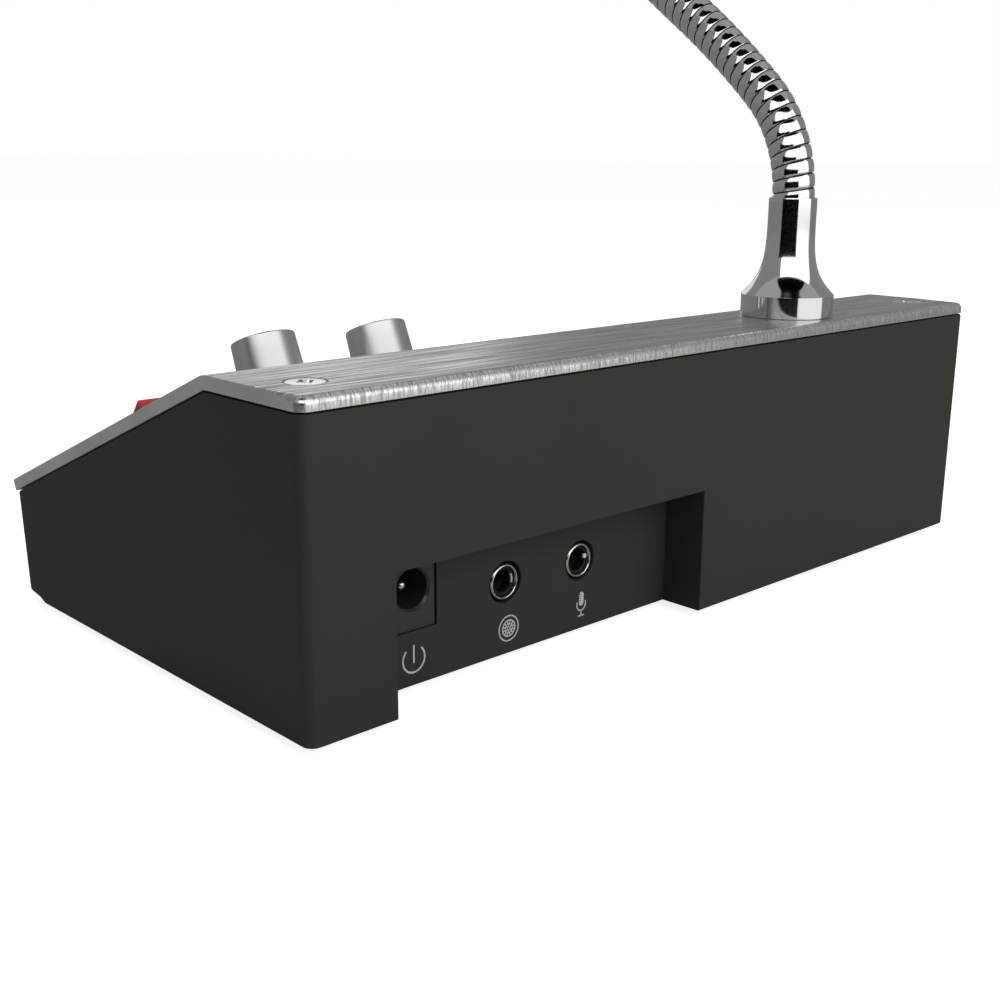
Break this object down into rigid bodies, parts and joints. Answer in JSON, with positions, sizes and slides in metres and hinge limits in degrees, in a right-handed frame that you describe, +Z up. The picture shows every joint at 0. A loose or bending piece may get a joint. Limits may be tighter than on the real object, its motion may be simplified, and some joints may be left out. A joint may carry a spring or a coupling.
{
  "type": "teller window intercom",
  "caption": "Wedge-shaped counter intercom with a brushed face plate, volume knobs, push buttons, a power rocker and a gooseneck microphone on a flared socket.",
  "frame": {"origin": "under the middle of the casing's foot print, on the surface that the rubber feet stand on", "axes": "+X to the user's right, +Y away from the user towards the sockets at the rear, +Z up"},
  "size_m": [0.172, 0.1832, 0.2669],
  "materials": {
    "casing_plastic": "fine moulded grain, satin",
    "plate_aluminium": "brushed along the width, bright cut edges",
    "knob_aluminium": "spun satin",
    "chrome": "polished plating",
    "nickel": "polished nickel",
    "screw_steel": "zinc-plated",
    "steel": "plain",
    "foot_rubber": "matt",
    "socket_black": "moulded, glossy",
    "housing_black": "satin black paint",
    "part_black": "moulded",
    "cone_paper": "pressed paper",
    "board_green": "solder-masked board",
    "pot_case": "moulded",
    "capacitor_sleeve": "shrunk sleeve",
    "connector_nylon": "natural nylon",
    "button_white": "moulded, slightly glossy",
    "rocker_red": "moulded, glossy",
    "led_red": "clear-cast",
    "brass": "plain",
    "lead_red": "extruded",
    "lead_black": "extruded",
    "lead_grey": "extruded",
    "holder_rubber": "matt",
    "magnet_ferrite": "sintered ferrite, plain yokes"
  },
  "bodies": {
    "base": {"body_shell": "casing_plastic", "bottom_cover": "casing_plastic", "cover_screws": "screw_steel", "rubber_feet": "foot_rubber", "faceplate": "plate_aluminium", "plate_screws": "screw_steel", "speaker_basket": "steel", "speaker_magnet": "magnet_ferrite", "speaker_cone": "cone_paper", "speaker_dust_cap": "cone_paper", "speaker_gasket": "holder_rubber", "speaker_nuts": "screw_steel", "main_board": "board_green", "board_screws": "screw_steel", "power_jack": "socket_black", "power_jack_pin": "nickel", "speaker_jack": "socket_black", "speaker_jack_ring": "nickel", "mic_jack": "socket_black", "mic_jack_ring": "nickel", "amplifier_chip": "part_black", "heat_sink": "steel", "filter_capacitors": "capacitor_sleeve", "board_connectors": "connector_nylon", "control_board": "board_green", "speaker_pot": "pot_case", "mic_pot": "pot_case", "push_switch_1": "part_black", "push_switch_2": "part_black", "push_switch_3": "part_black", "rocker_housing": "part_black", "rocker_terminals": "brass", "power_led": "led_red", "ballast_bar": "steel", "neck_socket": "chrome", "socket_nut": "screw_steel", "speaker_leads": "lead_red", "switch_leads": "lead_black", "mic_lead": "lead_grey", "neck_stub": "chrome"},
    "speaker_knob": {"speaker_knob": "knob_aluminium", "speaker_pot_shaft": "steel"},
    "mic_knob": {"mic_knob": "knob_aluminium", "mic_pot_shaft": "steel"},
    "push_button_1": {"push_button_1": "button_white"},
    "push_button_2": {"push_button_2": "button_white"},
    "push_button_3": {"push_button_3": "button_white"},
    "rocker": {"rocker": "rocker_red"},
    "neck_1": {"neck_1": "chrome"},
    "neck_2": {"neck_2": "chrome"},
    "neck_3": {"neck_3": "chrome"},
    "neck_4": {"neck_4": "chrome"},
    "neck_5": {"neck_5": "chrome"},
    "mic_head": {"neck_6": "chrome", "mic_ferrule": "chrome", "mic_housing": "housing_black", "mic_mesh": "steel", "mic_cap": "housing_black", "mic_capsule": "steel", "capsule_holder": "holder_rubber"}
  },
  "joints": [
    {"name": "speaker_volume", "type": "hinge", "parent": "base", "child": "speaker_knob", "pos_m": [0.0518, -0.01134, 0.03694], "axis": [0, -0.378, 0.9258], "range_deg": [-150, 150]},
    {"name": "mic_volume", "type": "hinge", "parent": "base", "child": "mic_knob", "pos_m": [0.0267, -0.01134, 0.03694], "axis": [0, -0.378, 0.9258], "range_deg": [-150, 150]},
    {"name": "button_press_1", "type": "slide", "parent": "base", "child": "push_button_1", "axis": [0, 0.378, -0.9258], "range_m": [0, 0.0012], "stiffness_N_per_m": 900, "springref_m": -0.0012},
    {"name": "button_press_2", "type": "slide", "parent": "base", "child": "push_button_2", "axis": [0, 0.378, -0.9258], "range_m": [0, 0.0012], "stiffness_N_per_m": 900, "springref_m": -0.0012},
    {"name": "button_press_3", "type": "slide", "parent": "base", "child": "push_button_3", "axis": [0, 0.378, -0.9258], "range_m": [0, 0.0012], "stiffness_N_per_m": 900, "springref_m": -0.0012},
    {"name": "power_rocker", "type": "hinge", "parent": "base", "child": "rocker", "pos_m": [0.0764, -0.01296, 0.03589], "axis": [-1, 0, 0], "range_deg": [0, 24]},
    {"name": "neck_fore_bend_1", "type": "hinge", "parent": "base", "child": "neck_1", "pos_m": [-0.037, 0.02729, 0.0887], "axis": [1, 0, 0], "range_deg": [-20, 20]},
    {"name": "neck_side_bend_1", "type": "hinge", "parent": "neck_1", "child": "neck_2", "pos_m": [-0.037, 0.00103, 0.11119], "axis": [0, 0.5982, 0.8014], "range_deg": [-20, 20]},
    {"name": "neck_fore_bend_2", "type": "hinge", "parent": "neck_2", "child": "neck_3", "pos_m": [-0.037, -0.02595, 0.13294], "axis": [1, 0, 0], "range_deg": [-20, 20]},
    {"name": "neck_side_bend_2", "type": "hinge", "parent": "neck_3", "child": "neck_4", "pos_m": [-0.037, -0.05123, 0.15665], "axis": [0, 0.7108, 0.7034], "range_deg": [-20, 20]},
    {"name": "neck_fore_bend_3", "type": "hinge", "parent": "neck_4", "child": "neck_5", "pos_m": [-0.037, -0.07467, 0.18218], "axis": [1, 0, 0], "range_deg": [-20, 20]},
    {"name": "neck_side_bend_3", "type": "hinge", "parent": "neck_5", "child": "mic_head", "pos_m": [-0.037, -0.09614, 0.20938], "axis": [0, 0.8076, 0.5898], "range_deg": [-20, 20]}
  ]
}
